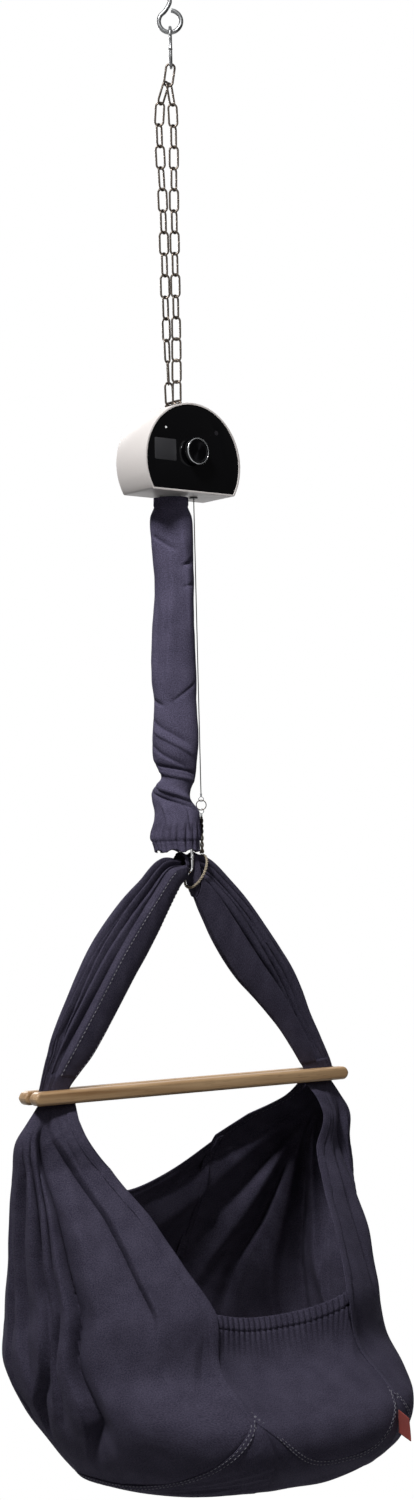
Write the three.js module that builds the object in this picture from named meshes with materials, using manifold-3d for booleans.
// A baby cradle that hangs from one ceiling eye. From the top down: screw eye, carabiner, two strands
// of welded chain, a drive housing with its dial, an extension spring in a cloth sleeve, a second
// carabiner, and a cloth sling that two wooden bars spread open. A cord runs beside the spring, from a
// spool in the housing to the sling, and the drive pulls on it to rock the cradle up and down.
// Millimetres, +Z up. The origin is the point where the screw eye enters the ceiling, the bars lie
// along X, and the front of the housing and the low side of the sling face -Y.

import * as THREE from 'three';
import { mergeVertices } from 'three/addons/utils/BufferGeometryUtils.js';
import Module from 'manifold-3d';

const wasm = await Module();
wasm.setup();

// Clearances that several pieces share.
const seatGap = 0.3;
const overrun = 1;

// Driving dimensions of the load line, from the ceiling down.
const eyeCentreDrop = 34.3;
const carabinerLength = 62;
const housingTopDrop = 591.2;
const sleeveLength = 500;
const sleeveToHook = 34;
const hookToBars = 293.5;
const barLength = 550;
const barsToBase = 523;

// The chain was hung with its links turned to this angle about the vertical.
const chainTurn = THREE.MathUtils.degToRad(-38);

const eye = { wire: 6.5, outer: 38.5, embedded: 45, core: 4.6, bendDrop: 7, closing: 2.2 };

const carabiner = {
  wire: 5, width: 30, gateShare: 0.4, gateCentreShare: 0.46, gateWire: 4.2, gateGap: 0.35,
};

const link = { wire: 3.2, width: 15.6, outer: 36 };

const strand = {
  links: 15, twisted: 5, topSpread: 1.8, leftLift: 1.6, rightLift: -0.1, leftShift: 16.8, rightShift: 1.2,
  slimShare: 0.96, seatBite: 0.8, seatShare: 0.25,
};

const bow = { wire: 4, span: 34, rise: 8.4, offset: 10, corner: 5, headRadius: 4.4, headHeight: 3 };

const housing = {
  radius: 84,
  flatDrop: 43.3,
  depth: 70,
  wall: 2.6,
  corner: 4,
  fit: 0.35,
  panelThickness: 3,
  panelInset: 0.8,
  coverThickness: 2.6,
};

const windowPane = { width: 38, height: 31, x: -48.5, rise: 14.5, thickness: 1.6, corner: 2 };

const lens = { radius: 1.5, x: -47.1, rise: 45.3, length: 4 };

const sensor = { radius: 3.4, x: 42.3, rise: 45.3, length: 3.4 };

const dial = {
  radius: 17.5,
  ringRadius: 18.6,
  ringLip: 1.1,
  rise: 14,
  proud: 12.4,
  standOff: 1.6,
  edge: 1.8,
  dish: 0.8,
  stemRadius: 3,
  travel: 1.2,
};

const encoder = { width: 13, height: 12, depth: 6, bushRadius: 4.4, bushLength: 4, plungerRadius: 2.2 };

const board = { width: 88, height: 54, thickness: 1.6, x: -22, rise: 16, standOff: 8.5 };

const chassis = {
  sheet: 3, top: 36, foot: 74, footShift: -18, depth: 42, headroom: 10, bracket: 60, bracketRise: 44,
};

const motor = { radius: 18, length: 21, nose: 6, noseLength: 1.6, chamfer: 1.5 };

const spool = { drumRadius: 9, flangeRadius: 14, width: 10, flange: 1.5, shaftRadius: 3, bottomRise: 30 };

const cord = { radius: 0.75, x: 25.4, footX: 28.3, sides: 6, step: 21 };

const bush = { radius: 4.2, bore: 1.6, flange: 6.2, lip: 1.6 };

const springHook = { wire: 3.5, ringRadius: 5.2, stemRadius: 2.2, neck: 11, headRadius: 6, headHeight: 3 };

const inlet = { radius: 4.5, bore: 2.9, depth: 9, flange: 6.4, lip: 1.2, x: -40, rise: 14, pin: 0.9 };

const coverScrew = { radius: 1.5, head: 2.9, headHeight: 1.6, length: 10, inset: 9, spread: 33 };

const spring = {
  wire: 3,
  outer: 24,
  curls: 18,
  stepsPerCurl: 8,
  sides: 5,
  hookRadius: 7,
  lead: 12,
  bodyLength: 352,
};

const sleeve = { width: 57, depth: 42, wall: 1.6, lengthGap: 3 };

const splitRing = { wire: 1.3, radius: 7, rise: 98.5 };

const cordEye = { wire: 1.1, radius: 3.4, crimpRadius: 1.5, crimpLength: 5 };

const rope = {
  radius: 1.5, sleeveRadius: 2.7, sleeveLength: 23, strandLength: 22, knotRadius: 4.4,
  loopRise: 28.1, loopFall: 17.7, loopFootX: 4.5, loopDepth: 20.8,
};

const bar = { height: 18.6, depth: 18.4, spacing: 26, edge: 3.6 };

const barPin = { radius: 2.4, pitch: 123, shift: 27, bite: 5 };

const arm = { reach: 266, halfDepth: 18, pleat: 2.6, columns: 20 };

const crown = { halfShare: 0.0451, halfDepth: 17, rise: 33, forkFall: 32.5 };

const sling = {
  halfLength: 286,
  frontDepth: 296,
  rearDepth: 206,
  cloth: 3,
  seam: 0.75,
  hem: 0.2,
  leanRight: 18,
  leanFront: 12,
  pleat: 9,
  pleats: 6,
  pleatShare: 0.62,
  drawIn: 30,
  rimSag: 19,
  cornerFall: 277.5,
  apexFall: 397,
  frontSeamFall: 468,
  rearSeamFall: 467,
  endSeamFall: 505,
  rearRimFall: 161,
  rearCornerFall: 88,
  seamSkewDegrees: 1.5,
};

const mattress = { crown: 14, edge: 26, clearance: 6, settle: 2.4 };

const tag = { width: 24, length: 30, thickness: 1, fall: 441, rise: 0.3 };

// Heights that follow from these sizes, each as a drop below the ceiling.
const housingFloorDrop = housingTopDrop + housing.radius + housing.flatDrop;
const lowerCarabinerDrop = housingFloorDrop + sleeve.lengthGap + sleeveLength + sleeveToHook;
const barDrop = lowerCarabinerDrop + hookToBars;
const slingBottomDrop = barDrop + barsToBase;
const crownTopDrop = lowerCarabinerDrop - crown.rise;
const crownForkDrop = lowerCarabinerDrop + crown.forkFall;
const splitRingDrop = lowerCarabinerDrop - splitRing.rise;

// Finishes.
const finish = (color, roughness, metalness = 0) => new THREE.MeshStandardMaterial({
  color, roughness, metalness,
});
const materials = {
  zinc: finish(0xb9bcbf, 0.35, 1),
  chain: finish(0x6f6c68, 0.38, 1),
  chrome: finish(0xd7d9db, 0.15, 1),
  steel: finish(0x9a9c9e, 0.45, 1),
  whiteShell: finish(0xe9e7e6, 0.45),
  blackGloss: finish(0x0b0b0d, 0.08),
  pane: finish(0x2b2c30, 0.2),
  lamp: finish(0xf4f6f8, 0.4),
  blackKnob: finish(0x17171a, 0.4),
  blackPlastic: finish(0x1c1c1e, 0.55),
  green: finish(0x1d4a2e, 0.5),
  motorCan: finish(0x8a8b8d, 0.4, 1),
  nylon: finish(0xd8d4cb, 0.6),
  darkCord: finish(0x2b2a2c, 0.8),
  cotton: finish(0xcdbfa4, 0.9),
  cloth: finish(0x2e2c38, 0.9),
  beech: finish(0xc9a273, 0.55),
  padding: finish(0xe4e1da, 0.9),
  redTag: finish(0x8c2f2b, 0.8),
};

const part = new THREE.Group();

// Turns a geometry into one indexed body with shared corners, no empty triangle and its faces out.
function closedBody(geometry) {
  const bare = geometry.clone();
  bare.deleteAttribute('normal');
  bare.deleteAttribute('uv');
  const joined = mergeVertices(bare);
  const index = joined.index.array;
  const kept = [];
  for (let i = 0; i < index.length; i += 3) {
    const [a, b, c] = [index[i], index[i + 1], index[i + 2]];
    if (a !== b && b !== c && c !== a) kept.push(a, b, c);
  }
  if (signedVolume(joined.attributes.position, kept) < 0) {
    for (let i = 0; i < kept.length; i += 3) [kept[i], kept[i + 1]] = [kept[i + 1], kept[i]];
  }
  joined.setIndex(kept);
  joined.computeVertexNormals();
  return joined;
}

function signedVolume(position, index) {
  const [a, b, c] = [new THREE.Vector3(), new THREE.Vector3(), new THREE.Vector3()];
  let volume = 0;
  for (let i = 0; i < index.length; i += 3) {
    a.fromBufferAttribute(position, index[i]);
    b.fromBufferAttribute(position, index[i + 1]);
    c.fromBufferAttribute(position, index[i + 2]);
    volume += a.dot(b.cross(c));
  }
  return volume;
}

function toSolid(geometry) {
  const body = closedBody(geometry);
  const mesh = new wasm.Mesh({
    numProp: 3,
    vertProperties: new Float32Array(body.attributes.position.array),
    triVerts: new Uint32Array(body.index.array),
  });
  return new wasm.Manifold(mesh);
}

function toGeometry(solid) {
  const mesh = solid.getMesh();
  const geometry = new THREE.BufferGeometry();
  geometry.setAttribute('position', new THREE.Float32BufferAttribute(mesh.vertProperties, mesh.numProp));
  geometry.setIndex([...mesh.triVerts]);
  return geometry;
}

const united = (...geometries) => toGeometry(geometries.map(toSolid).reduce((sum, next) => sum.add(next)));

const cut = (geometry, ...tools) => toGeometry(
  tools.map(toSolid).reduce((rest, tool) => rest.subtract(tool), toSolid(geometry)));

function addPiece(name, geometry, material, parent = part) {
  const mesh = new THREE.Mesh(closedBody(geometry), material);
  mesh.name = name;
  parent.add(mesh);
  return mesh;
}

// A body skinned over rings of points, with a fan over each end.
function loft(rings) {
  const points = rings.flat();
  const count = rings[0].length;
  const faces = [];
  for (let i = 0; i + 1 < rings.length; i += 1) {
    for (let j = 0; j < count; j += 1) {
      const [a, b] = [i * count + j, i * count + ((j + 1) % count)];
      faces.push(a, b, b + count, a, b + count, a + count);
    }
  }
  for (const [ring, turn] of [[0, 1], [rings.length - 1, 0]]) {
    const centre = new THREE.Vector3();
    rings[ring].forEach((point) => centre.add(point));
    points.push(centre.divideScalar(count));
    for (let j = 0; j < count; j += 1) {
      const pair = [ring * count + j, ring * count + ((j + 1) % count)];
      faces.push(points.length - 1, pair[turn], pair[1 - turn]);
    }
  }
  return pointBody(points, faces);
}

function pointBody(points, faces) {
  const geometry = new THREE.BufferGeometry().setFromPoints(points);
  geometry.setIndex(faces);
  return geometry;
}

// Rings of a round wire along points, carried without twist from one point to the next.
function wireRings(points, radius, sides, closed) {
  const count = points.length;
  const tangents = points.map((point, i) => {
    const before = closed ? points[(i + count - 1) % count] : points[Math.max(i - 1, 0)];
    const after = closed ? points[(i + 1) % count] : points[Math.min(i + 1, count - 1)];
    return after.clone().sub(before).normalize();
  });
  const start = Math.abs(tangents[0].z) < 0.9 ? new THREE.Vector3(0, 0, 1) : new THREE.Vector3(1, 0, 0);
  let across = start.cross(tangents[0]).normalize();
  return points.map((point, i) => {
    across = across.sub(tangents[i].clone().multiplyScalar(across.dot(tangents[i]))).normalize();
    const beside = tangents[i].clone().cross(across);
    return circleOf(sides).map(([c, s]) => point
      .clone()
      .addScaledVector(across, radius * c)
      .addScaledVector(beside, radius * s));
  });
}

const circleOf = (sides) => Array.from({ length: sides }, (_, i) => {
  const angle = (2 * Math.PI * i) / sides;
  return [Math.cos(angle), Math.sin(angle)];
});

const wireAlong = (points, radius, sides) => loft(wireRings(points, radius, sides, false));

// A wire that closes on itself.
function wireLoop(points, radius, sides) {
  const rings = wireRings(points, radius, sides, true);
  const faces = [];
  rings.forEach((_, i) => {
    const next = (i + 1) % rings.length;
    for (let j = 0; j < sides; j += 1) {
      const [a, b] = [i * sides + j, i * sides + ((j + 1) % sides)];
      const [c, d] = [next * sides + j, next * sides + ((j + 1) % sides)];
      faces.push(a, b, d, a, d, c);
    }
  });
  return pointBody(rings.flat(), faces);
}

// A turned piece: outline points are [radius, height], and its axis ends up along Z.
const turned = (outline, segments) => {
  const points = outline.map(([radius, height]) => new THREE.Vector2(radius, height));
  return new THREE.LatheGeometry(points, segments).rotateX(Math.PI / 2);
};

const rod = (radius, length, segments = 16) => turned(
  [[0, 0], [radius, 0], [radius, length], [0, length]], segments);

// The points of an oval link in the XZ plane, around its middle.
function ovalPoints(length, width, stepsPerEnd) {
  const radius = width / 2;
  const straight = length / 2 - radius;
  const points = [];
  for (const side of [1, -1]) {
    for (let i = 0; i <= stepsPerEnd; i += 1) {
      const angle = (Math.PI * i) / stepsPerEnd;
      const rise = straight + radius * Math.sin(angle);
      points.push(new THREE.Vector3(side * radius * Math.cos(angle), 0, side * rise));
    }
  }
  return points;
}

const up = new THREE.Vector3(0, 0, 1);

// Level directions in the plane that the chain's links face, and across it.
const acrossView = new THREE.Vector3(Math.cos(chainTurn), Math.sin(chainTurn), 0);
const alongView = new THREE.Vector3(-Math.sin(chainTurn), Math.cos(chainTurn), 0);
const placed = (across, along, height) => acrossView
  .clone()
  .multiplyScalar(across)
  .addScaledVector(alongView, along)
  .addScaledVector(up, height);

// The screw eye: one wire, straight in the ceiling, that steps aside and closes round an eye.
function ceilingHook() {
  const radius = (eye.outer - eye.wire) / 2;
  const [fromShare, toShare, stepCount] = [0.33, 1.23, 16];
  const points = [placed(0, 0, -overrun), placed(0, 0, -eye.bendDrop)];
  for (let i = 0; i <= stepCount; i += 1) {
    const angle = 2 * Math.PI * THREE.MathUtils.lerp(fromShare, toShare, i / stepCount);
    const lift = eye.closing * Math.max(0, (i + 2 - stepCount) / 2);
    points.push(placed(radius * Math.cos(angle), 0, -eyeCentreDrop + radius * Math.sin(angle) + lift));
  }
  const neck = new THREE.CatmullRomCurve3(points.slice(0, 4)).getPoints(8);
  const ring = wireAlong([...neck, ...points.slice(4)], eye.wire / 2, 7);
  const tip = eye.embedded;
  const shoulder = eye.wire / 2;
  const shank = turned([
    [0, -overrun - shoulder],
    [shoulder, -overrun - shoulder],
    [shoulder, shoulder],
    [eye.core / 2, shoulder + eye.core / 2],
    [eye.core / 2, tip - eye.wire],
    [0, tip],
  ], 16);
  return united(ring, shank);
}

// Carabiners: an oval of wire in the XZ plane, open on its left side for the gate.
function carabinerBody(size) {
  const side = (size.width - size.wire) / 2;
  const half = (carabinerLength - size.wire) / 2;
  const gateTop = half - 2 * half * (size.gateCentreShare - size.gateShare / 2);
  const gateFoot = gateTop - 2 * half * size.gateShare;
  const points = [new THREE.Vector3(-side, 0, gateFoot)];
  for (const end of [-1, 1]) {
    const steps = 8;
    for (let i = 0; i <= steps; i += 1) {
      const angle = (Math.PI * i) / steps;
      const rise = half - side + side * Math.sin(angle);
      points.push(new THREE.Vector3(end * side * Math.cos(angle), 0, end * rise));
    }
  }
  points.push(new THREE.Vector3(-side, 0, gateTop));
  return { body: wireAlong(points, size.wire / 2, 8), gateTop, gateFoot, side: -side };
}

// The gate is a pin between the two ends of its carabiner, pivoted at its foot.
function carabinerPieces(name, centreDrop, turn, material) {
  const group = new THREE.Group();
  group.position.z = -centreDrop;
  group.rotation.z = turn;
  part.add(group);
  const { body, gateTop, gateFoot, side } = carabinerBody(carabiner);
  addPiece(name, body, material, group);
  const length = gateTop - gateFoot - 2 * carabiner.gateGap;
  const collar = carabiner.wire / 2;
  const ball = Math.SQRT1_2 * collar;
  const gate = turned([
    [0, 0],
    [ball, collar - ball],
    [collar, collar],
    [carabiner.gateWire / 2, 2 * collar],
    [carabiner.gateWire / 2, length - 2 * collar],
    [collar, length - collar],
    [ball, length],
    [0, length],
  ], 10);
  gate.translate(side, 0, gateFoot + carabiner.gateGap);
  addPiece(name + '_gate', gate, material, group);
}

const eyeFloor = eyeCentreDrop + (eye.outer - eye.wire) / 2 - eye.wire / 2;
const topCarabinerDrop = eyeFloor - 2 * seatGap - carabiner.wire + carabinerLength / 2;
const lowerCarabinerCentreDrop = lowerCarabinerDrop - carabinerLength / 2;

// The single link on the carabiner stands face-on and leans with the weight of the two strands.
const midLinkLean = THREE.MathUtils.degToRad(9);
const midLinkTopDrop = topCarabinerDrop + carabinerLength / 2 - carabiner.wire - 2 * seatGap;
const linkSpan = link.outer - link.wire;

function linkGeometry() {
  return wireLoop(ovalPoints(linkSpan, link.width - link.wire, 4), link.wire / 2, 5);
}

function midLink() {
  const geometry = linkGeometry();
  geometry.translate(0, 0, -linkSpan / 2 + link.wire / 2);
  geometry.rotateY(midLinkLean);
  geometry.rotateZ(chainTurn);
  geometry.translate(0, 0, -midLinkTopDrop);
  return geometry;
}

// A strand is a row of links on a shallow curve, each turned a quarter from the last and seated in it.
function strandLinks(top, foot, shift) {
  const along = foot.clone().sub(top);
  const mark = (share, across) => {
    const point = top.clone().addScaledVector(along, share);
    return point.addScaledVector(acrossView, across - point.dot(acrossView));
  };
  const inner = foot.dot(acrossView);
  const curve = new THREE.CatmullRomCurve3([
    top,
    mark(0.07, -shift),
    mark(0.4, THREE.MathUtils.lerp(-shift, inner, 0.3)),
    mark(0.8, THREE.MathUtils.lerp(-shift, inner, 0.55)),
    foot,
  ], false, 'centripetal');
  const marks = curve.getSpacedPoints(strand.links);
  const solids = marks.slice(1).map((mark, i) => {
    const before = marks[i];
    const direction = mark.clone().sub(before);
    const seat = direction.clone().normalize();
    const stretch = (direction.length() + link.wire - strand.seatBite) / linkSpan;
    const geometry = linkGeometry();
    geometry.scale(strand.slimShare, strand.slimShare, stretch);
    const quarter = i % 2 === 0 ? Math.PI / 2 : 0;
    const untwist = THREE.MathUtils.smoothstep(i, strand.links - strand.twisted, strand.links - 1);
    geometry.rotateZ(chainTurn + quarter - (chainTurn + Math.PI / 2) * untwist);
    geometry.applyQuaternion(new THREE.Quaternion().setFromUnitVectors(up.clone().negate(), seat));
    const centre = before.clone().add(mark).multiplyScalar(0.5);
    geometry.translate(centre.x, centre.y, centre.z);
    return geometry;
  });
  return united(...solids);
}

function chainPieces() {
  addPiece('mid_link', midLink(), materials.chain);
  const bowTop = -housingTopDrop + bow.rise;
  const footDrop = bowTop - (bow.wire + strand.seatBite) / 2 - 2 * seatGap;
  const seatDepth = linkSpan - link.wire - seatGap;
  const seatDrop = midLinkTopDrop + Math.cos(midLinkLean) * seatDepth;
  const bottom = placed(-Math.sin(midLinkLean) * linkSpan, 0, -seatDrop);
  const strands = [
    ['strand_left', -1, strand.leftShift, strand.leftLift],
    ['strand_right', 1, -strand.rightShift, strand.rightLift],
  ];
  for (const [name, side, shift, lift] of strands) {
    const top = bottom.clone().addScaledVector(acrossView, side * strand.topSpread);
    top.z += link.wire / 2 + lift;
    const foot = new THREE.Vector3(0, bow.offset - side * bow.span * strand.seatShare, footDrop);
    addPiece(name, strandLinks(top, foot, shift), materials.chain);
  }
}

// The bow on the housing's crest: a bent wire whose legs pass the shell and are headed under the chassis.
const bowLegFoot = -housingTopDrop - chassis.headroom - chassis.sheet - seatGap;

function suspensionBow() {
  const half = bow.span / 2;
  const top = -housingTopDrop + bow.rise;
  const points = [
    [-half, bowLegFoot - bow.headHeight],
    [-half, top - bow.corner],
    [-half + bow.corner * 0.3, top - bow.corner * 0.3],
    [-half + bow.corner, top],
    [half - bow.corner, top],
    [half - bow.corner * 0.3, top - bow.corner * 0.3],
    [half, top - bow.corner],
    [half, bowLegFoot - bow.headHeight],
  ].map(([y, z]) => new THREE.Vector3(0, bow.offset + y, z));
  const heads = [-half, half].map((y) => rod(bow.headRadius, bow.headHeight, 12)
    .translate(0, bow.offset + y, bowLegFoot - bow.headHeight - overrun / 2));
  return united(wireAlong(points, bow.wire / 2, 8), ...heads);
}

// The housing's outline: a circle cut flat below its middle, with rounded lower corners.
function housingShape(inset) {
  const radius = housing.radius - inset;
  const flat = -housing.flatDrop + inset;
  const corner = Math.max(housing.corner - inset, housing.corner / 4);
  const reach = Math.sqrt((radius - corner) ** 2 - (flat + corner) ** 2);
  const tangent = Math.atan2(flat + corner, reach);
  const [cornerSteps, crestSteps] = [3, 40];
  const arc = (x, z, size, from, to, steps) => Array.from({ length: steps + 1 }, (_, i) => {
    const angle = THREE.MathUtils.lerp(from, to, i / steps);
    return new THREE.Vector2(x + size * Math.cos(angle), z + size * Math.sin(angle));
  });
  return new THREE.Shape([
    ...arc(reach, flat + corner, corner, -Math.PI / 2, tangent, cornerSteps),
    ...arc(0, 0, radius, tangent, Math.PI - tangent, crestSteps).slice(1),
    ...arc(-reach, flat + corner, corner, Math.PI - tangent, 1.5 * Math.PI, cornerSteps).slice(1),
  ]);
}

const housingCentre = -housingTopDrop - housing.radius;
const housingFloor = housingCentre - housing.flatDrop;
const panelFront = -housing.depth / 2 + housing.panelInset;

// A flat piece cut from a shape drawn in XZ and laid from one Y to another, front first.
function slab(shape, front, thickness, segments = 4, bevel = 0) {
  const geometry = new THREE.ExtrudeGeometry(shape, {
    depth: thickness - 2 * bevel,
    curveSegments: segments,
    bevelEnabled: bevel > 0,
    bevelThickness: bevel,
    bevelSize: bevel,
    bevelOffset: -bevel,
    bevelSegments: 1,
  });
  return geometry.rotateX(Math.PI / 2).translate(0, front + thickness - bevel, 0);
}

function roundedRectangle(width, height, corner) {
  const [x, y] = [width / 2, height / 2];
  const shape = new THREE.Shape();
  shape.moveTo(-x + corner, -y);
  shape.lineTo(x - corner, -y);
  shape.absarc(x - corner, -y + corner, corner, -Math.PI / 2, 0, false);
  shape.lineTo(x, y - corner);
  shape.absarc(x - corner, y - corner, corner, 0, Math.PI / 2, false);
  shape.lineTo(-x + corner, y);
  shape.absarc(-x + corner, y - corner, corner, Math.PI / 2, Math.PI, false);
  shape.lineTo(-x, -y + corner);
  shape.absarc(-x + corner, -y + corner, corner, Math.PI, 1.5 * Math.PI, false);
  return shape;
}

const upright = (radius, x, y, top, bottom, segments = 12) => rod(radius, top - bottom, segments)
  .translate(x, y, bottom);

const levelRod = (radius, x, front, back, z, segments = 12) => rod(radius, back - front, segments)
  .rotateX(-Math.PI / 2)
  .translate(x, front, z);

const screwPlaces = [[-1, -1], [1, -1], [-1, 1], [1, 1]].map(([x, z]) => [
  x * (z > 0 ? coverScrew.spread : housing.radius - coverScrew.inset - coverScrew.spread / 2),
  housingCentre + (z > 0
    ? housing.radius - coverScrew.inset - coverScrew.head * 3
    : -housing.flatDrop + coverScrew.inset),
]);

function housingPieces() {
  const back = housing.depth / 2;
  const outer = slab(housingShape(0), -back, housing.depth).translate(0, 0, housingCentre);
  const hollow = slab(housingShape(housing.wall), -back - overrun, housing.depth + 2 * overrun)
    .translate(0, 0, housingCentre);
  const crest = -housingTopDrop + overrun;
  const legHoles = [-1, 1].map((side) => upright(
    bow.wire / 2 + seatGap, 0, bow.offset + (side * bow.span) / 2,
    crest, crest - housing.wall - 2 * overrun));
  const underPlaces = [[0, springHook.stemRadius + seatGap], [cord.x, bush.radius + seatGap]];
  const underHoles = underPlaces.map(([x, radius]) => upright(
    radius, x, 0, housingFloor + housing.wall + overrun, housingFloor - overrun));
  addPiece('casing', cut(outer, hollow, ...legHoles, ...underHoles), materials.whiteShell);

  const panelShape = housingShape(housing.wall + housing.fit);
  const paneHole = roundedRectangle(windowPane.width, windowPane.height, windowPane.corner);
  const paneCentre = [windowPane.x, housingCentre + windowPane.rise];
  const panelBlank = slab(panelShape, panelFront, housing.panelThickness).translate(0, 0, housingCentre);
  const panePocket = slab(paneHole, panelFront - overrun, windowPane.thickness + overrun, 4)
    .translate(paneCentre[0], 0, paneCentre[1]);
  const holes = [
    [encoder.bushRadius + seatGap, 0, housingCentre + dial.rise],
    [lens.radius + seatGap, lens.x, housingCentre + lens.rise],
    [sensor.radius + seatGap, sensor.x, housingCentre + sensor.rise],
  ].map(([radius, x, z]) => levelRod(
    radius, x, panelFront - overrun, panelFront + housing.panelThickness + overrun, z));
  addPiece('front_panel', cut(panelBlank, panePocket, ...holes), materials.blackGloss);

  const paneShape = roundedRectangle(
    windowPane.width - 2 * seatGap, windowPane.height - 2 * seatGap, windowPane.corner - seatGap);
  const pane = slab(paneShape, panelFront, windowPane.thickness - seatGap, 4);
  addPiece('display_pane', pane.translate(paneCentre[0], 0, paneCentre[1]), materials.pane);
  const lenses = [['status_lamp', lens, materials.lamp], ['sensor_lens', sensor, materials.pane]];
  for (const [name, size, material] of lenses) {
    const z = housingCentre + size.rise;
    addPiece(name, levelRod(size.radius, size.x, panelFront, panelFront + size.length, z), material);
  }

  const coverFront = back - housing.coverThickness;
  const coverBlank = slab(panelShape, coverFront, housing.coverThickness).translate(0, 0, housingCentre);
  const screwHoles = screwPlaces.map(([x, z]) => levelRod(
    coverScrew.radius + seatGap, x, coverFront - overrun, back + overrun, z, 12));
  const inletHole = levelRod(
    inlet.radius + seatGap, inlet.x, coverFront - overrun, back + overrun, housingFloor + inlet.rise);
  addPiece('rear_cover', cut(coverBlank, ...screwHoles, inletHole), materials.whiteShell);
  screwPlaces.forEach(([x, z], i) => addPiece(
    'cover_screw_' + (i + 1), coverScrewBody(x, back + seatGap, z), materials.steel));
  addPiece('power_inlet', powerInlet(back + seatGap), materials.blackPlastic);
}

function coverScrewBody(x, seat, z) {
  const { radius, head, headHeight, length } = coverScrew;
  const outline = [
    [0, -length], [radius, -length], [radius, 0], [head, 0], [head * 0.8, headHeight], [0, headHeight],
  ];
  return turned(outline, 12).rotateX(-Math.PI / 2).translate(x, seat, z);
}

// A barrel socket with its centre pin, in the rear cover.
function powerInlet(seat) {
  const outline = [
    [0, -inlet.depth],
    [inlet.radius, -inlet.depth],
    [inlet.radius, 0],
    [inlet.flange, 0],
    [inlet.flange, inlet.lip],
    [inlet.bore, inlet.lip],
    [inlet.bore, inlet.lip - inlet.depth],
    [inlet.pin, inlet.lip - inlet.depth],
    [inlet.pin, 0],
    [0, 0],
  ];
  return turned(outline, 16).rotateX(-Math.PI / 2).translate(inlet.x, seat, housingFloor + inlet.rise);
}

// The dial turns and pushes: knob, bright ring and stem on a sprung plunger in the encoder.
function dialPieces() {
  const z = housingCentre + dial.rise;
  const foot = panelFront - dial.standOff;
  const face = panelFront - dial.proud;
  const bodyHeight = foot - face;
  const bore = dial.stemRadius + seatGap;
  const knob = turned([
    [bore, 0],
    [dial.radius, 0],
    [dial.radius, bodyHeight - dial.ringLip - seatGap],
    [dial.radius - dial.ringLip, bodyHeight - seatGap],
    [dial.radius - dial.ringLip - dial.edge, bodyHeight - seatGap - dial.dish],
    [0, bodyHeight - seatGap - dial.dish],
    [0, bodyHeight / 2],
    [bore, bodyHeight / 2],
    [bore, 0],
  ], 28);
  const along = (geometry, y) => geometry.rotateX(Math.PI / 2).translate(0, y, z);
  addPiece('dial_knob', along(knob, foot), materials.blackKnob);
  const ringFoot = bodyHeight / 3;
  const ring = turned([
    [dial.radius + seatGap, ringFoot],
    [dial.ringRadius, ringFoot],
    [dial.ringRadius, bodyHeight - dial.ringLip / 2],
    [dial.ringRadius - dial.ringLip / 2, bodyHeight],
    [dial.radius - dial.ringLip / 2, bodyHeight],
    [dial.radius + seatGap, bodyHeight - dial.ringLip],
    [dial.radius + seatGap, ringFoot],
  ], 28);
  addPiece('dial_ring', along(ring, foot), materials.chrome);
  const boardFront = panelFront + housing.panelThickness + board.standOff;
  const encoderBack = boardFront - seatGap;
  const encoderFront = encoderBack - encoder.depth;
  const stemBack = encoderFront - encoder.bushLength + dial.travel;
  const stemFront = foot - bodyHeight / 2 + seatGap;
  addPiece('dial_stem', levelRod(dial.stemRadius, 0, stemFront, stemBack, z), materials.steel);
  const shape = roundedRectangle(encoder.width, encoder.height, encoder.width / 8);
  const block = slab(shape, encoderFront, encoder.depth, 3).translate(0, 0, z);
  const collar = levelRod(
    encoder.bushRadius, 0, encoderFront - encoder.bushLength, encoderFront + overrun, z);
  const well = levelRod(
    dial.stemRadius + seatGap, 0, encoderFront - encoder.bushLength - overrun, encoderBack - overrun, z);
  addPiece('encoder', cut(united(block, collar), well), materials.blackPlastic);
  addPiece('encoder_plunger', levelRod(
    encoder.plungerRadius, 0, stemBack + seatGap, encoderBack - overrun - dial.travel - seatGap, z, 12),
  materials.nylon);
}

// The load path inside: a folded steel frame from the bow's heads to the spring hook, with the drive.
const spoolX = cord.x + spool.drumRadius + cord.radius + seatGap;
const spoolZ = housingFloor + spool.bottomRise;
const bracketFront = spool.width / 2 + seatGap + overrun;

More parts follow.
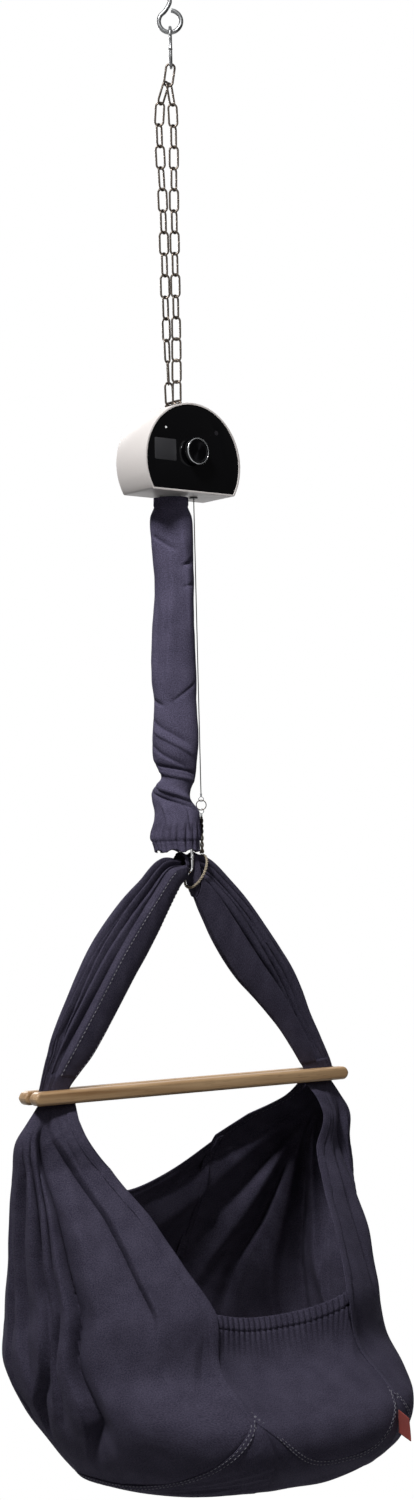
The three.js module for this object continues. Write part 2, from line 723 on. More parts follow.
function drivePieces() {
  const top = -housingTopDrop - chassis.headroom;
  const foot = housingFloor + housing.wall + seatGap;
  const back = -chassis.depth / 3;
  const frame = new THREE.Shape();
  const [half, sheet] = [chassis.sheet / 2, chassis.sheet];
  const [left, right] = [chassis.footShift - chassis.foot / 2, chassis.footShift + chassis.foot / 2];
  frame.moveTo(left, foot);
  frame.lineTo(right, foot);
  frame.lineTo(right, foot + sheet);
  frame.lineTo(half, foot + sheet);
  frame.lineTo(half, top - sheet);
  frame.lineTo(chassis.top / 2, top - sheet);
  frame.lineTo(chassis.top / 2, top);
  frame.lineTo(-chassis.top / 2, top);
  frame.lineTo(-chassis.top / 2, top - sheet);
  frame.lineTo(-half, top - sheet);
  frame.lineTo(-half, foot + sheet);
  frame.lineTo(left, foot + sheet);
  const body = slab(frame, back, chassis.depth);
  const bracketShape = roundedRectangle(chassis.bracket, chassis.bracketRise, chassis.sheet);
  const bracket = slab(bracketShape, bracketFront, chassis.sheet, 3)
    .translate(chassis.bracket / 2 - half, 0, foot + chassis.bracketRise / 2);
  const legHoles = [-1, 1].map((side) => upright(
    bow.wire / 2 + seatGap, 0, bow.offset + (side * bow.span) / 2, top + overrun, top - sheet - overrun));
  const webSlots = [-1, 1].map((side) => upright(
    bow.headRadius + seatGap, 0, bow.offset + (side * bow.span) / 2, top - sheet + seatGap / 2,
    bowLegFoot - bow.headHeight - 2 * overrun));
  const stemHole = upright(springHook.stemRadius + seatGap, 0, 0, foot + sheet + overrun, foot - overrun);
  const wellTop = foot + sheet + springHook.headHeight + 2 * overrun;
  const headWell = upright(springHook.headRadius + seatGap, 0, 0, wellTop, foot + sheet);
  const shaftHole = levelRod(
    motor.nose + seatGap, spoolX, bracketFront - overrun, bracketFront + 2 * sheet, spoolZ);
  const openings = [...legHoles, ...webSlots, stemHole, headWell, shaftHole];
  addPiece('chassis', cut(united(body, bracket), ...openings), materials.steel);

  const motorFront = bracketFront + sheet + seatGap;
  const can = turned([
    [0, 0],
    [motor.radius - motor.chamfer, 0],
    [motor.radius, motor.chamfer],
    [motor.radius, motor.length - motor.chamfer],
    [motor.radius - motor.chamfer, motor.length],
    [motor.nose, motor.length],
    [motor.nose, motor.length + motor.noseLength],
    [0, motor.length + motor.noseLength],
  ], 24);
  can.rotateX(Math.PI / 2).translate(spoolX, motorFront + motor.length, spoolZ);
  addPiece('gear_motor', can, materials.motorCan);
  const shaftBack = motorFront - motor.noseLength - seatGap;
  addPiece('drive_shaft', levelRod(
    spool.shaftRadius, spoolX, -spool.width / 2 - overrun, shaftBack, spoolZ, 12), materials.steel);
  const drum = turned([
    [spool.shaftRadius + seatGap, 0],
    [spool.flangeRadius, 0],
    [spool.flangeRadius, spool.flange],
    [spool.drumRadius, spool.flange],
    [spool.drumRadius, spool.width - spool.flange],
    [spool.flangeRadius, spool.width - spool.flange],
    [spool.flangeRadius, spool.width],
    [spool.shaftRadius + seatGap, spool.width],
    [spool.shaftRadius + seatGap, 0],
  ], 20);
  drum.rotateX(Math.PI / 2).translate(spoolX, spool.width / 2, spoolZ);
  addPiece('cord_spool', drum, materials.nylon);

  const boardFront = panelFront + housing.panelThickness + board.standOff;
  const boardShape = roundedRectangle(board.width, board.height, board.thickness * 2);
  addPiece('control_board', slab(boardShape, boardFront, board.thickness, 3)
    .translate(board.x, 0, housingCentre + board.rise), materials.green);
  const bushOutline = [
    [bush.bore, 0],
    [bush.flange, 0],
    [bush.flange, bush.lip],
    [bush.radius, bush.lip],
    [bush.radius, bush.lip + housing.wall + seatGap],
    [bush.bore, bush.lip + housing.wall + seatGap],
    [bush.bore, 0],
  ];
  const bushBody = turned(bushOutline, 16).translate(cord.x, 0, housingFloor - bush.lip - seatGap);
  addPiece('cord_bush', bushBody, materials.blackPlastic);

  const ringDrop = springRingDrop;
  const ring = new THREE.TorusGeometry(springHook.ringRadius, springHook.wire / 2, 6, 16)
    .rotateX(Math.PI / 2)
    .translate(0, 0, -ringDrop);
  const stemTop = foot + sheet + seatGap;
  const stemFoot = -ringDrop + springHook.ringRadius;
  const stem = turned([
    [0, stemFoot],
    [springHook.stemRadius, stemFoot],
    [springHook.stemRadius, stemTop],
    [springHook.headRadius, stemTop],
    [springHook.headRadius, stemTop + springHook.headHeight],
    [0, stemTop + springHook.headHeight],
  ], 16);
  addPiece('spring_hook', united(ring, stem), materials.steel);
}

const springRingDrop = -housingFloor + springHook.neck;

// The spring: a hook that crosses the ring, open curls, a straight neck, and a hook for the carabiner.
function springPoints() {
  const wire = spring.wire / 2;
  const coil = (spring.outer - spring.wire) / 2;
  const topSeat = -(springRingDrop + springHook.ringRadius) + springHook.wire / 2 + wire + seatGap;
  const topCentre = topSeat - spring.hookRadius;
  const footSeat = -lowerCarabinerDrop + carabinerLength - carabiner.wire - wire - seatGap;
  const footCentre = footSeat + spring.hookRadius;
  const helixTop = topCentre - spring.hookRadius - spring.lead;
  const helixFoot = helixTop - spring.bodyLength;
  const arc = (centre, from, to, count, place) => Array.from({ length: count + 1 }, (_, i) => {
    const angle = THREE.MathUtils.degToRad(THREE.MathUtils.lerp(from, to, i / count));
    return place(spring.hookRadius * Math.cos(angle), centre + spring.hookRadius * Math.sin(angle));
  });
  const [mouth, hookTurn] = [-50, 282];
  const topHook = arc(topCentre, mouth, mouth + hookTurn, 12, (y, z) => new THREE.Vector3(0, y, z));
  const footHook = arc(
    footCentre, -mouth - hookTurn, -mouth, 12, (x, z) => new THREE.Vector3(x, 0, z));
  const helix = [];
  const steps = spring.curls * spring.stepsPerCurl;
  for (let i = 0; i <= steps; i += 1) {
    const angle = Math.PI + (2 * Math.PI * i) / spring.stepsPerCurl;
    const z = THREE.MathUtils.lerp(helixTop, helixFoot, i / steps);
    helix.push(new THREE.Vector3(coil * Math.cos(angle), coil * Math.sin(angle), z));
  }
  const last = helix[helix.length - 1];
  const toNeck = [
    new THREE.Vector3(last.x * 0.45, 0, last.z - spring.lead / 2),
    new THREE.Vector3(0, 0, last.z - spring.lead),
    new THREE.Vector3(0, 0, footCentre + spring.hookRadius + spring.lead),
  ];
  const leadIn = new THREE.Vector3(
    -coil * 0.4, -spring.hookRadius * 0.8, topCentre - spring.hookRadius * 1.2);
  return [...topHook, leadIn, ...helix, ...toNeck, ...footHook];
}

// The least distance between turns, less the wire, over points that lie at least a third of a turn apart.
function leastGap(points, wire, apart) {
  let least = Infinity;
  for (let i = 0; i < points.length; i += 1) {
    for (let j = i + apart; j < points.length; j += 1) {
      least = Math.min(least, points[i].distanceTo(points[j]) - wire);
    }
  }
  return least;
}

function springPiece() {
  const points = springPoints();
  console.log('least gap between spring turns', leastGap(points, spring.wire, 5).toFixed(2), 'mm');
  addPiece('extension_spring', wireAlong(points, spring.wire / 2, spring.sides), materials.steel);
}

// The sleeve hangs from the spring's top and falls to one side. Each row gives, as shares, the height
// from the top, the two edges as the viewer sees them, and the depth.
const sleeveRowsShares = [
  [0, -0.588, 0.175, 0.85],
  [0.026, -0.6, 0.18, 0.86],
  [0.055, -0.705, 0.272, 0.88],
  [0.119, -0.7, 0.295, 0.9],
  [0.175, -0.684, 0.286, 0.9],
  [0.2325, -0.644, 0.3, 0.88],
  [0.29, -0.653, 0.289, 0.9],
  [0.402, -0.721, 0.295, 0.92],
  [0.516, -0.765, 0.312, 0.94],
  [0.572, -0.725, 0.3, 0.9],
  [0.686, -0.768, 0.33, 1],
  [0.7415, -0.728, 0.285, 0.92],
  [0.797, -0.545, 0.228, 0.6],
  [0.829, -0.78, 0.11, 0.62],
  [0.855, -0.79, 0.11, 0.68],
  [0.889, -0.746, 0.3, 1],
  [0.93, -0.8, 0.32, 1.3],
  [0.967, -0.84, 0.32, 1.34],
  [0.981, -0.78, 0.29, 1.26],
  [1, -0.74, 0.3, 1.24],
];

function sleevePiece() {
  const sides = 12;
  const top = housingFloor - sleeve.lengthGap;
  const ringsAt = (inset) => sleeveRowsShares.map(([share, left, right, depth]) => {
    const centre = ((left + right) / 2) * sleeve.width;
    const half = ((right - left) / 2) * sleeve.width - inset;
    const deep = (depth * sleeve.depth) / 2 - inset;
    return circleOf(sides).map(([c, s]) => placed(centre + half * c, deep * s, top - share * sleeveLength));
  });
  addPiece('spring_sleeve', thickTube(ringsAt(0), ringsAt(sleeve.wall)), materials.cloth);
}

// A tube with a wall, open at both ends, between outer and inner rings.
function thickTube(outer, inner) {
  const count = outer[0].length;
  const rows = outer.length;
  const points = [...outer.flat(), ...inner.flat()];
  const faces = [];
  const at = (skin, i, j) => skin * rows * count + i * count + (j % count);
  for (let i = 0; i + 1 < rows; i += 1) {
    for (let j = 0; j < count; j += 1) {
      faces.push(...quad(at(0, i, j), at(0, i, j + 1), at(0, i + 1, j + 1), at(0, i + 1, j)));
      faces.push(...quad(at(1, i, j), at(1, i + 1, j), at(1, i + 1, j + 1), at(1, i, j + 1)));
    }
  }
  for (let j = 0; j < count; j += 1) {
    faces.push(...quad(at(0, 0, j), at(1, 0, j), at(1, 0, j + 1), at(0, 0, j + 1)));
    const end = rows - 1;
    faces.push(...quad(at(0, end, j), at(0, end, j + 1), at(1, end, j + 1), at(1, end, j)));
  }
  return pointBody(points, faces);
}

const quad = (a, b, c, d) => [a, b, c, a, c, d];

// The cord line beside the spring, from the bush down to the sling's crown.
function cordPieces() {
  const eyeRise = splitRing.radius - splitRing.wire / 2 - 3 * seatGap - cordEye.wire / 2 + cordEye.radius;
  const eyeCentre = -splitRingDrop + eyeRise;
  const crimpTop = eyeCentre + cordEye.radius + cordEye.crimpLength;
  const steps = Math.round((spoolZ - crimpTop) / cord.step);
  const line = Array.from({ length: steps + 1 }, (_, i) => new THREE.Vector3(
    THREE.MathUtils.lerp(cord.x, cord.footX, i / steps), 0,
    THREE.MathUtils.lerp(spoolZ, crimpTop + seatGap, i / steps)));
  addPiece('pull_cord', wireAlong(line, cord.radius, cord.sides), materials.darkCord);
  addPiece('cord_eye', eyeWithCrimp(eyeCentre, 1), materials.steel);
  addPiece('split_ring', splitRingCoil(), materials.chrome);
  const lowerEyeCentre = -splitRingDrop - eyeRise;
  addPiece('rope_eye', eyeWithCrimp(lowerEyeCentre, -1), materials.steel);
  const sleeveTop = lowerEyeCentre - cordEye.radius - cordEye.crimpLength - seatGap;
  const sleeveBody = twistedRope(
    rope.sleeveRadius, rope.sleeveRadius * 0.8, sleeveTop, rope.sleeveLength);
  addPiece('rope_sleeve', sleeveBody, materials.darkCord);
  const strandTop = sleeveTop - rope.sleeveLength - seatGap;
  const strandBody = twistedRope(rope.radius * 1.9, rope.radius, strandTop, rope.strandLength);
  addPiece('rope_strands', strandBody, materials.cotton);
  const knotTop = strandTop - rope.strandLength - seatGap;
  const knot = new THREE.SphereGeometry(rope.knotRadius, 12, 8).scale(1, 1, 0.7);
  addPiece('rope_knot', knot.translate(cord.footX, 0, knotTop - rope.knotRadius * 0.7), materials.cotton);
  addPiece('rope_loop', ropeLoop(), materials.cotton);
}

// A small wire eye with a crimped barrel above it, or below it.
function eyeWithCrimp(centre, side) {
  const ring = new THREE.TorusGeometry(cordEye.radius, cordEye.wire / 2, 6, 14);
  ring.rotateZ(Math.PI / 2).rotateY(Math.PI / 2).rotateZ(chainTurn);
  const barrel = rod(cordEye.crimpRadius, cordEye.crimpLength, 8).translate(0, 0, cordEye.radius);
  if (side < 0) barrel.rotateX(Math.PI);
  return united(ring, barrel).translate(cord.footX, 0, centre);
}

// Two turns of spring wire, as a key ring is wound, face-on to the viewer.
function splitRingCoil() {
  const [turns, steps] = [2, 28];
  const pitch = splitRing.wire + seatGap;
  const points = Array.from({ length: steps + 1 }, (_, i) => {
    const turn = (turns * i) / steps;
    const angle = 2 * Math.PI * turn;
    const across = splitRing.radius * Math.cos(angle);
    return placed(across, pitch * (turn - turns / 2), splitRing.radius * Math.sin(angle));
  });
  console.log('least gap between split ring turns', leastGap(points, splitRing.wire, 7).toFixed(2), 'mm');
  return wireAlong(points, splitRing.wire / 2, 5).translate(cord.footX, 0, -splitRingDrop);
}

// A short length of two-ply line: an oval that turns as it goes down.
function twistedRope(wide, narrow, top, length) {
  const rows = 9;
  const turns = 1.5;
  const rings = Array.from({ length: rows + 1 }, (_, i) => {
    const turn = (2 * Math.PI * turns * i) / rows;
    return circleOf(8).map(([c, s]) => new THREE.Vector3(
      cord.footX + wide * c * Math.cos(turn) - narrow * s * Math.sin(turn),
      wide * c * Math.sin(turn) + narrow * s * Math.cos(turn),
      top - (length * i) / rows,
    ));
  });
  return loft(rings);
}

// The rope's loop goes round the right shoulder of the crown, from the knot down to the fork.
function ropeLoop() {
  const steps = 24;
  const points = Array.from({ length: steps }, (_, i) => {
    const angle = (2 * Math.PI * i) / steps;
    const share = (1 + Math.cos(angle)) / 2;
    return new THREE.Vector3(
      THREE.MathUtils.lerp(rope.loopFootX, cord.footX, share),
      rope.loopDepth * Math.sin(angle),
      -lowerCarabinerDrop - THREE.MathUtils.lerp(rope.loopFall, -rope.loopRise, share),
    );
  });
  return wireLoop(points, rope.radius, 6);
}

// The spreader: two round-ended bars side by side, with pins that hold them a cloth's width apart.
function barPieces() {
  for (const [name, side] of [['front_bar', -1], ['rear_bar', 1]]) {
    const shape = roundedRectangle(barLength, bar.height, bar.height / 2 - overrun / 4);
    const wood = slab(shape, -bar.depth / 2, bar.depth, 5, bar.edge);
    const sockets = [-1, 0, 1].map((step) => levelRod(
      barPin.radius + seatGap, barPin.shift + step * barPin.pitch,
      side < 0 ? bar.depth / 2 - barPin.bite : -bar.depth / 2 - overrun,
      side < 0 ? bar.depth / 2 + overrun : -bar.depth / 2 + barPin.bite, 0, 10));
    addPiece(name, cut(wood, ...sockets).translate(0, (side * bar.spacing) / 2, -barDrop), materials.beech);
  }
  const reach = (bar.spacing - bar.depth) / 2 + barPin.bite - seatGap;
  [-1, 0, 1].forEach((step, i) => addPiece('bar_pin_' + (i + 1), levelRod(
    barPin.radius, barPin.shift + step * barPin.pitch, -reach, reach, -barDrop, 10), materials.steel));
}

// The sling's body below the bars: level sections whose sizes follow the height. Each row gives, as
// shares, the height, the half length, the front depth, the rear depth, the lean and the squareness.
const slingTop = -barDrop - bar.height / 2 - 2;
const slingHeight = slingTop + slingBottomDrop;
const slingRowsShares = [
  [0, 0.9, 0.03, 0.035, 0, 1],
  [0.04, 0.955, 0.12, 0.15, 0, 1],
  [0.09, 1.008, 0.191, 0.365, 0, 0.98],
  [0.167, 1.004, 0.227, 0.574, 0, 0.96],
  [0.286, 0.994, 0.401, 0.744, 0, 0.94],
  [0.413, 0.976, 0.571, 0.887, 0, 0.92],
  [0.528, 0.953, 0.684, 1.033, 0.05, 0.9],
  [0.675, 0.964, 0.71, 1.11, 0.2, 0.86],
  [0.75, 0.938, 0.862, 1.052, 0.4, 0.83],
  [0.8, 0.904, 0.945, 0.98, 0.6, 0.82],
  [0.893, 0.83, 0.915, 0.824, 0.9, 0.84],
  [0.952, 0.762, 0.797, 0.643, 1, 0.86],
  [0.988, 0.7, 0.68, 0.49, 1, 0.9],
  [1, 0.62, 0.57, 0.4, 1, 0.92],
];
const slingSection = new THREE.CubicInterpolant(
  slingRowsShares.map((row) => row[0]), slingRowsShares.flatMap((row) => row.slice(1)), 5);
const fallShare = (fall) => (slingTop + barDrop + fall) / slingHeight;
const bent = (value, power) => Math.sign(value) * Math.abs(value) ** power;

// A point of the sling's outside. The angle runs from 0 at the front to 180 degrees at the rear.
function slingPoint(angle, share) {
  const [long, front, rear, lean, square] = slingSection.evaluate(share);
  const ahead = bent(Math.cos(angle), square);
  const depth = ahead > 0 ? front * sling.frontDepth : rear * sling.rearDepth;
  return new THREE.Vector3(
    long * sling.halfLength * bent(Math.sin(angle), square) + lean * sling.leanRight,
    -depth * ahead - lean * sling.leanFront,
    slingTop - share * slingHeight,
  );
}

// The way out of the cloth at a point: level on the sides, turning down under the base.
function slingOut(angle, share) {
  const [long, front, rear] = slingSection.evaluate(share);
  const depth = Math.cos(angle) > 0 ? front * sling.frontDepth : rear * sling.rearDepth;
  const level = new THREE.Vector3(
    Math.sin(angle) * depth, -Math.cos(angle) * long * sling.halfLength, 0).normalize();
  const sink = THREE.MathUtils.smoothstep(share, 0.72, 1);
  return level.lerp(new THREE.Vector3(0, 0, -1), sink).normalize();
}

// Where the panels end. The front corner of an end panel runs down its free edge and then its seam.
const cornerShare = fallShare(sling.cornerFall);
const apexShare = fallShare(sling.apexFall);
const frontEdge = new THREE.LinearInterpolant(
  [0, 0.04, 0.167, 0.286, 0.413, cornerShare, apexShare, 1],
  [52, 50, 38, 31, 26.5, 22, 22, 22].map(THREE.MathUtils.degToRad), 1);
const rearEdge = new THREE.LinearInterpolant(
  [0, 0.04, 0.09, 0.15, 0.3, apexShare, 1], [52, 44, 32, 24.2, 23, 22, 22].map(THREE.MathUtils.degToRad), 1);
const apexAngle = frontEdge.evaluate(apexShare)[0];
const seamSkew = THREE.MathUtils.degToRad(sling.seamSkewDegrees);

// The half angle of the pocket on one side: below its corners it is drawn over to the right.
function frontTurn(side, share) {
  const drawn = THREE.MathUtils.clamp((share - cornerShare) / (apexShare - cornerShare), 0, 1);
  return frontEdge.evaluate(share)[0] + side * seamSkew * drawn;
}

// The height share of the seam that each panel is sewn to the base with, by angle from its nearer end.
function seamShare(angle) {
  const place = wrapAngle(angle);
  const [turn, side] = [Math.abs(place), Math.sign(place) || 1];
  const hollow = (share, fall, power) => fallShare(fall) - (fallShare(fall) - apexShare) * share ** power;
  const front = frontTurn(side, apexShare);
  if (turn < front) return hollow(Math.abs(place - seamSkew) / apexAngle, sling.frontSeamFall, 2.8);
  if (turn > Math.PI - apexAngle) return hollow((Math.PI - turn) / apexAngle, sling.rearSeamFall, 2.4);
  const middle = (Math.PI - apexAngle + front) / 2;
  return hollow(Math.abs(turn - middle) / (middle - front), sling.endSeamFall, 2.8);
}

const columns = { front: 12, end: 22, rear: 8 };

// A sheet with a wall between two grids of points.
function thickSheet(outer, inner) {
  const [rows, count] = [outer.length, outer[0].length];
  const points = [...outer.flat(), ...inner.flat()];
  const at = (skin, i, j) => skin * rows * count + i * count + j;
  const faces = [];
  for (let i = 0; i + 1 < rows; i += 1) {
    for (let j = 0; j + 1 < count; j += 1) {
      faces.push(...quad(at(0, i, j), at(0, i, j + 1), at(0, i + 1, j + 1), at(0, i + 1, j)));
      faces.push(...quad(at(1, i, j), at(1, i + 1, j), at(1, i + 1, j + 1), at(1, i, j + 1)));
    }
    faces.push(...quad(at(0, i, 0), at(0, i + 1, 0), at(1, i + 1, 0), at(1, i, 0)));
    const side = count - 1;
    faces.push(...quad(at(0, i, side), at(1, i, side), at(1, i + 1, side), at(0, i + 1, side)));
  }
  for (let j = 0; j + 1 < count; j += 1) {
    faces.push(...quad(at(0, 0, j), at(1, 0, j), at(1, 0, j + 1), at(0, 0, j + 1)));
    const end = rows - 1;
    faces.push(...quad(at(0, end, j), at(0, end, j + 1), at(1, end, j + 1), at(1, end, j)));
  }
  return pointBody(points, faces);
}

// A cloth panel of the sling. edgeAngles gives the angle of each side at a height, topShare the upper
// edge, and move shifts a point of the cloth for folds and drawn-in edges. crowding above 1 sets the
// rows closer together at the top.
function slingPanel(count, rows, edgeAngles, topShare, move, crowding = 1) {
  const trimShare = sling.hem / slingHeight;
  const grids = [[], []];
  for (let i = 0; i <= rows; i += 1) {
    const rowOuter = [];
    const rowInner = [];
    for (let j = 0; j <= count; j += 1) {
      const across = j / count;
      const down = (i / rows) ** crowding;
      const share = panelShare(across, down, edgeAngles, topShare, trimShare);
      const [from, to] = edgeAngles(share);
      const trimAngle = sling.seam / sling.rearDepth;
      const angle = THREE.MathUtils.lerp(from + trimAngle, to - trimAngle, across);
      const out = slingOut(angle, share);
      const point = slingPoint(angle, share).add(move(across, down, angle, share, out));
      rowOuter.push(point);
      rowInner.push(point.clone().addScaledVector(out, -sling.cloth));
    }
    grids[0].push(rowOuter);
    grids[1].push(rowInner);
  }
  return thickSheet(...grids);
}

// The height share of a panel's point: its column ends on the seam at the angle that it has there.
function panelShare(across, down, edgeAngles, topShare, trimShare) {
  const [from, to] = edgeAngles(apexShare);
  const seam = seamShare(THREE.MathUtils.lerp(from, to, across)) - trimShare;
  return THREE.MathUtils.lerp(topShare(across), seam, down);
}

const noMove = new THREE.Vector3();

function frontPocket() {
  const edges = (share) => [-1, 1].map((side) => side * frontTurn(side, Math.max(share, cornerShare)));
  const sag = sling.rimSag / slingHeight;
  const top = (across) => cornerShare + sag * (1 - (2 * across - 1) ** 2);
  return slingPanel(columns.front, 8, edges, top, (across, down, angle, share, out) => {
    const middle = 1 - (2 * across - 1) ** 2;
    return out.clone().multiplyScalar(-sling.drawIn * middle * (1 - down) ** 2);
  });
}

function rearPanel() {
  const edges = (share) => {
    const half = rearEdge.evaluate(share)[0];
    return [Math.PI - half, Math.PI + half];
  };
  const top = (across) => THREE.MathUtils.lerp(
    fallShare(sling.rearRimFall), fallShare(sling.rearCornerFall), Math.abs(2 * across - 1) ** 1.6);
  return slingPanel(columns.rear, 8, edges, top, () => noMove);
}

// An end of the sling: its panel fans out of the pinch between the bars, and the arm rises from it.
function endCloth(side, armRowsShares) {
  const edges = (share) => {
    const [front, rear] = [frontTurn(side, share), Math.PI - rearEdge.evaluate(share)[0]];
    return side > 0 ? [front, rear] : [-rear, -front];
  };
  const panel = slingPanel(columns.end, 11, edges, () => 0, (across, down, angle, share, out) => {
    const fade = Math.sqrt(Math.sin(Math.PI * across));
    const gather = Math.sin(Math.PI * THREE.MathUtils.clamp(share / sling.pleatShare, 0, 1)) * fade;
    const wave = (1 - Math.cos(2 * Math.PI * sling.pleats * across)) / 2;
    return out.clone().multiplyScalar(-sling.pleat * gather * wave);
  }, 1.15);
  return united(panel, armBundle(armRowsShares).scale(side, 1, 1));
}

// Each arm by its outer and inner edge: reach and drop of the outer edge, reach and drop of the inner
// edge, then the half depth, all as shares.
const rightArmRowsShares = [
  [0.046, 0.003, 0.046, 0.2, 0.94],
  [0.158, 0.038, 0.075, 0.253, 0.96],
  [0.287, 0.127, 0.113, 0.311, 1],
  [0.402, 0.216, 0.162, 0.384, 1],
  [0.526, 0.332, 0.235, 0.473, 1],
  [0.635, 0.44, 0.321, 0.562, 1],
  [0.714, 0.528, 0.406, 0.629, 0.94],
  [0.778, 0.623, 0.508, 0.709, 0.84],
  [0.835, 0.727, 0.602, 0.789, 0.72],
  [0.902, 0.825, 0.684, 0.874, 0.56],
  [0.955, 0.911, 0.741, 0.936, 0.36],
];
const leftArmRowsShares = [
  [0.046, 0.003, 0.046, 0.133, 0.94],
  [0.188, 0.012, 0.083, 0.179, 0.96],
  [0.336, 0.117, 0.164, 0.289, 1],
  [0.441, 0.199, 0.207, 0.351, 1],
  [0.564, 0.311, 0.282, 0.443, 1],
  [0.65, 0.403, 0.35, 0.519, 1],
  [0.729, 0.507, 0.421, 0.605, 0.94],
  [0.79, 0.593, 0.489, 0.688, 0.84],
  [0.856, 0.685, 0.564, 0.777, 0.72],
  [0.914, 0.777, 0.632, 0.85, 0.56],
  [0.953, 0.872, 0.703, 0.908, 0.36],
];
const pinchRowsShares = [
  [0.98, 0.968, 0.772, 0.968, 0.195],
  [0.985, 1, 0.778, 1, 0.195],
  [0.985, 1.034, 0.78, 1.034, 0.195],
  [0.968, 1.046, 0.775, 1.046, 0.4],
];

function armBundle(rowsShares) {
  const drop = barDrop - crownTopDrop;
  const place = (reach, fall) => new THREE.Vector3(reach * arm.reach, 0, -crownTopDrop - fall * drop);
  const rings = [...rowsShares, ...pinchRowsShares].map(([outX, outZ, inX, inZ, deep], i) => {
    const [outer, inner] = [place(outX, outZ), place(inX, inZ)];
    const middle = outer.clone().add(inner).multiplyScalar(0.5);
    const half = outer.clone().sub(middle);
    const fold = i === 0 ? 0 : Math.min(1, (deep * arm.halfDepth) / (3 * arm.pleat)) * arm.pleat;
    return Array.from({ length: arm.columns }, (_, j) => {
      const angle = (2 * Math.PI * j) / arm.columns;
      const inward = (j % 2) * fold;
      const wide = 1 - inward / half.length();
      const thick = deep * arm.halfDepth - (deep > 0.3 ? inward : 0);
      return middle
        .clone()
        .addScaledVector(half, wide * Math.cos(angle))
        .add(new THREE.Vector3(0, thick * Math.sin(angle), 0));
    });
  });
  return loft(rings);
}

// The crown: the cloth between the arms, gathered thin where it lies in the carabiner's bow. Each row
// gives the place along X, the half depth, the top's fall and the underside's fall, as shares.
const crownRowsShares = [
  [-1, 1, 0, 0.66],
  [-0.42, 0.8, 0.03, 0.56],
  [-0.27, 0.54, 0.05, 0.421],
  [0.27, 0.54, 0.05, 0.421],
  [0.42, 0.8, 0.03, 0.6],
  [1, 1, 0, 1],
];

function crownLoop() {
  const height = crownForkDrop - crownTopDrop;
  const rings = crownRowsShares.map(([x, deep, high, low]) => {
    const middle = -crownTopDrop - (height * (high + low)) / 2;
    const half = (height * (low - high)) / 2;
    return circleOf(16).map(([c, s]) => new THREE.Vector3(
      x * (crown.halfShare * arm.reach - seatGap / 2), deep * crown.halfDepth * c, middle + half * s));
  });
  return loft(rings);
}

// The base: one cloth with four points that rise to the ends of the corner seams.
function baseAngles() {
  const spread = (from, to, count) => Array.from(
    { length: count }, (_, i) => THREE.MathUtils.lerp(from, to, i / count));
  const [left, right] = [frontTurn(-1, apexShare), frontTurn(1, apexShare)];
  return [
    ...spread(-left, right, columns.front),
    ...spread(right, Math.PI - apexAngle, columns.end),
    ...spread(Math.PI - apexAngle, Math.PI + apexAngle, columns.rear),
    ...spread(Math.PI + apexAngle, 2 * Math.PI - left, columns.end),
  ];
}

const wrapAngle = (angle) => (angle > Math.PI ? angle - 2 * Math.PI : angle);

function baseCloth() {
  const sideRows = [0, 0.35, 0.68, 0.88, 1];
  const flatShares = [0.5];
  const trimShare = sling.hem / slingHeight;
  const ringsAt = (inset) => {
    const rings = sideRows.map((down) => baseAngles().map((raw) => {
      const angle = wrapAngle(raw);
      const share = THREE.MathUtils.lerp(seamShare(angle) + trimShare, 1, down);
      return slingPoint(angle, share).addScaledVector(slingOut(angle, share), -inset);
    }));
    const rim = rings[rings.length - 1];
    const middle = slingPoint(0, 1).add(slingPoint(Math.PI, 1)).multiplyScalar(0.5);
    middle.z = rim[0].z;
    flatShares.forEach((share) => rings.push(rim.map((point) => middle.clone().lerp(point, share))));
    return { rings, middle };
  };
  return thickBowl(ringsAt(0), ringsAt(sling.cloth));
}

function thickBowl(outer, inner) {
  const count = outer.rings[0].length;
  const rows = outer.rings.length;
  const points = [...outer.rings.flat(), ...inner.rings.flat(), outer.middle, inner.middle];
  const at = (skin, i, j) => skin * rows * count + i * count + (j % count);
  const faces = [];
  for (let j = 0; j < count; j += 1) {
    for (let i = 0; i + 1 < rows; i += 1) {
      faces.push(...quad(at(0, i, j), at(0, i, j + 1), at(0, i + 1, j + 1), at(0, i + 1, j)));
      faces.push(...quad(at(1, i, j), at(1, i + 1, j), at(1, i + 1, j + 1), at(1, i, j + 1)));
    }
    faces.push(...quad(at(0, 0, j), at(1, 0, j), at(1, 0, j + 1), at(0, 0, j + 1)));
    faces.push(at(0, rows - 1, j), at(0, rows - 1, j + 1), points.length - 2);
    faces.push(at(1, rows - 1, j + 1), at(1, rows - 1, j), points.length - 1);
  }
  return pointBody(points, faces);
}

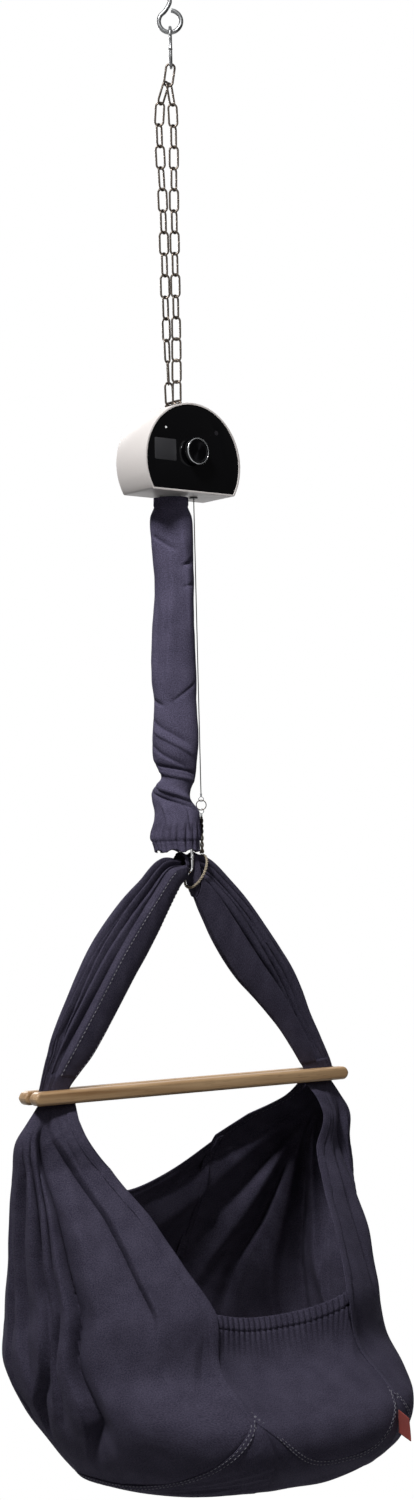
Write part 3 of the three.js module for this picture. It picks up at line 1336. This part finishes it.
// The mattress fills the tub of the base: its sides follow the cloth, and its top is crowned.
function mattressBody() {
  const count = 24;
  const inset = sling.cloth + mattress.clearance;
  const rimShare = fallShare(barsToBase - mattress.edge - sling.cloth);
  const ringAt = (share, lift) => Array.from({ length: count }, (_, i) => {
    const angle = wrapAngle((2 * Math.PI * i) / count);
    const point = slingPoint(angle, share).addScaledVector(slingOut(angle, share), -inset);
    point.z += lift;
    return point;
  });
  const rim = ringAt(rimShare, 0);
  const middle = rim.reduce((sum, point) => sum.add(point), new THREE.Vector3()).divideScalar(count);
  const crowned = [[0.93, 0.45], [0.7, 0.8], [0.35, 1]].map(([share, lift]) => rim.map((point) => {
    const place = middle.clone().lerp(point, share);
    place.z += lift * mattress.crown;
    return place;
  }));
  const body = loft([ringAt(1, 0), ringAt(0.985, 0), ringAt((1 + rimShare) / 2, 0), rim, ...crowned]);
  return body.translate(0, 0, -mattress.settle);
}

function tagPiece() {
  const angle = frontTurn(1, apexShare);
  const share = fallShare(tag.fall);
  const out = slingOut(angle, share).setZ(0).normalize();
  const seat = slingPoint(angle, share).addScaledVector(out, tag.width / 2 + tag.rise);
  const shape = roundedRectangle(tag.width, tag.length, tag.thickness);
  const flag = slab(shape, -tag.thickness / 2, tag.thickness, 2).rotateZ(Math.atan2(out.y, out.x));
  return flag.translate(seat.x, seat.y, seat.z);
}

function slingPieces() {
  addPiece('crown_loop', crownLoop(), materials.cloth);
  addPiece('left_end_cloth', endCloth(-1, leftArmRowsShares), materials.cloth);
  addPiece('right_end_cloth', endCloth(1, rightArmRowsShares), materials.cloth);
  addPiece('front_pocket', frontPocket(), materials.cloth);
  addPiece('rear_panel', rearPanel(), materials.cloth);
  addPiece('base_cloth', baseCloth(), materials.cloth);
  addPiece('mattress', mattressBody(), materials.padding);
  addPiece('side_tag', tagPiece(), materials.redTag);
}

addPiece('ceiling_hook', ceilingHook(), materials.zinc);
carabinerPieces('top_carabiner', topCarabinerDrop, chainTurn + Math.PI / 2, materials.zinc);
chainPieces();
addPiece('suspension_bow', suspensionBow(), materials.chain);
housingPieces();
dialPieces();
drivePieces();
springPiece();
sleevePiece();
cordPieces();
carabinerPieces('lower_carabiner', lowerCarabinerCentreDrop, Math.PI / 2, materials.chrome);
barPieces();
slingPieces();

export default part;
